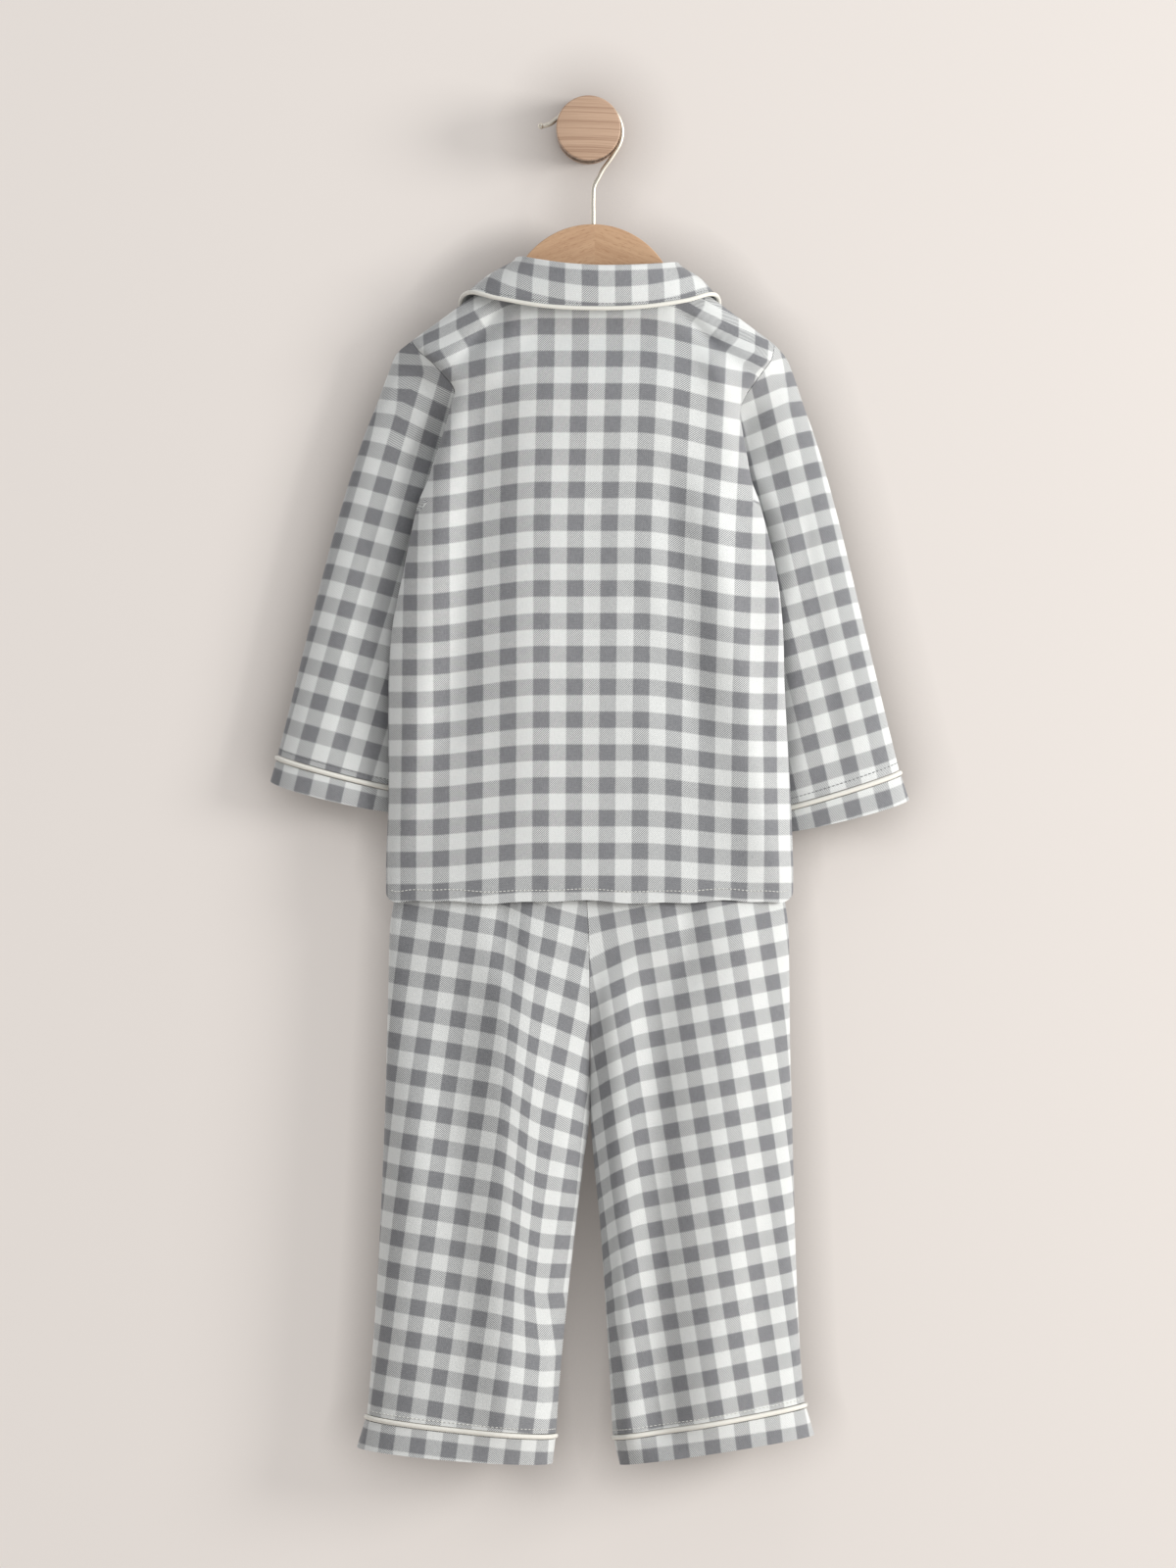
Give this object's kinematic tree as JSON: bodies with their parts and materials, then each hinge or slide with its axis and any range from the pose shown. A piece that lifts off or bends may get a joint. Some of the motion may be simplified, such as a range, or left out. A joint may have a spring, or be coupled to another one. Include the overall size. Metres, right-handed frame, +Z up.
{
  "type": "toddler pyjama set on a wooden clothes hanger and wall peg",
  "caption": "Gingham collared pyjama top over matching trousers, back to the room, hung from a wooden hanger whose wire hook goes over a turned wall peg.",
  "frame": {"origin": "middle of the peg's flat end, where it meets the wall", "axes": "+Z up, +Y into the wall, +X to the wearer's right, so the set hangs on the -Y side and shows its back towards -Y"},
  "size_m": [0.4188, 0.0683, 0.8946],
  "materials": {
    "gingham": "brushed cotton twill in grey and off-white gingham, checks about 11 mm",
    "piping": "off-white cotton piping",
    "peg_wood": "turned beech, matt varnish",
    "hanger_wood": "beech, satin varnish",
    "hook_wire": "pale champagne plated wire",
    "button": "off-white, pearly"
  },
  "bodies": {
    "root": {"peg": "peg_wood", "hanger_hook": "hook_wire", "hanger_bar": "hanger_wood", "top_back": "gingham", "top_front_l": "gingham", "top_front_r": "gingham", "collar": "gingham", "piping_collar": "piping", "button_1": "button", "button_2": "button", "button_3": "button", "button_4": "button", "waistband": "gingham", "sleeve_l": "gingham", "piping_cuff_l": "piping", "cuff_l": "gingham", "trouser_back_l": "gingham", "trouser_front_l": "gingham", "piping_hem_l": "piping", "hem_band_l": "gingham", "sleeve_r": "gingham", "piping_cuff_r": "piping", "cuff_r": "gingham", "trouser_back_r": "gingham", "trouser_front_r": "gingham", "piping_hem_r": "piping", "hem_band_r": "gingham"}
  },
  "joints": []
}
